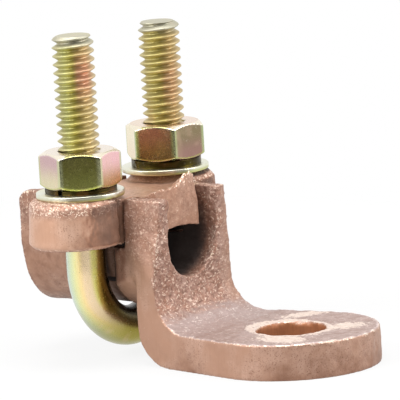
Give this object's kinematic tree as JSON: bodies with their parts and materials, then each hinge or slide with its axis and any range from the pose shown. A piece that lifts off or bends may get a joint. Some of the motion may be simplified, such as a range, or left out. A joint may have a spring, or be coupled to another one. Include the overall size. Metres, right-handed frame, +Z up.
{
  "type": "u-bolt clamp terminal lug",
  "caption": "Cast terminal lug with a round stud pad, an open cable trough and a U-bolt clamp bar with nuts that grips a cable.",
  "frame": {"origin": "on the stud hole's axis, at the pad's underside", "axes": "+X along the cable towards the pad's free end, +Y across the trough to the right as seen from the pad end, +Z up the U-bolt's legs, at right angles to the pad"},
  "size_m": [0.0565, 0.0384, 0.0496],
  "materials": {
    "cast_copper_alloy": "rough sand-cast brownish pink copper alloy",
    "zinc_yellow_steel": "iridescent yellow chromate zinc plating",
    "zinc_washer": "pale yellow zinc plating, stamped",
    "dark_spring_steel": "dark yellow-brown zinc plating on spring steel"
  },
  "bodies": {
    "lug": {"lug": "cast_copper_alloy"},
    "u_bolt": {"u_bolt": "zinc_yellow_steel"},
    "clamp_bar": {"clamp_bar": "cast_copper_alloy", "flat_washer_left": "zinc_washer", "flat_washer_right": "zinc_washer", "split_washer_left": "dark_spring_steel", "split_washer_right": "dark_spring_steel"},
    "nut_left": {"nut_left": "zinc_yellow_steel"},
    "nut_right": {"nut_right": "zinc_yellow_steel"}
  },
  "joints": [
    {"name": "u_bolt_play", "type": "slide", "parent": "lug", "child": "u_bolt", "axis": [0, 0, 1], "range_m": [0, 0.0004]},
    {"name": "clamp_lift", "type": "slide", "parent": "u_bolt", "child": "clamp_bar", "axis": [0, 0, 1], "range_m": [0, 0.0145]},
    {"name": "nut_left_turn", "type": "hinge", "parent": "clamp_bar", "child": "nut_left", "pos_m": [-0.02925, -0.01068, 0.0295], "axis": [0, 0, 1], "range_deg": [0, 4120]},
    {"name": "nut_right_turn", "type": "hinge", "parent": "clamp_bar", "child": "nut_right", "pos_m": [-0.02925, 0.01068, 0.0305], "axis": [0, 0, 1], "range_deg": [0, 4120]}
  ],
  "couplings": [
    {"joint": "nut_left_turn", "follows": "clamp_lift", "rad_per_m": 4947.4},
    {"joint": "nut_right_turn", "follows": "clamp_lift", "rad_per_m": 4947.4}
  ]
}
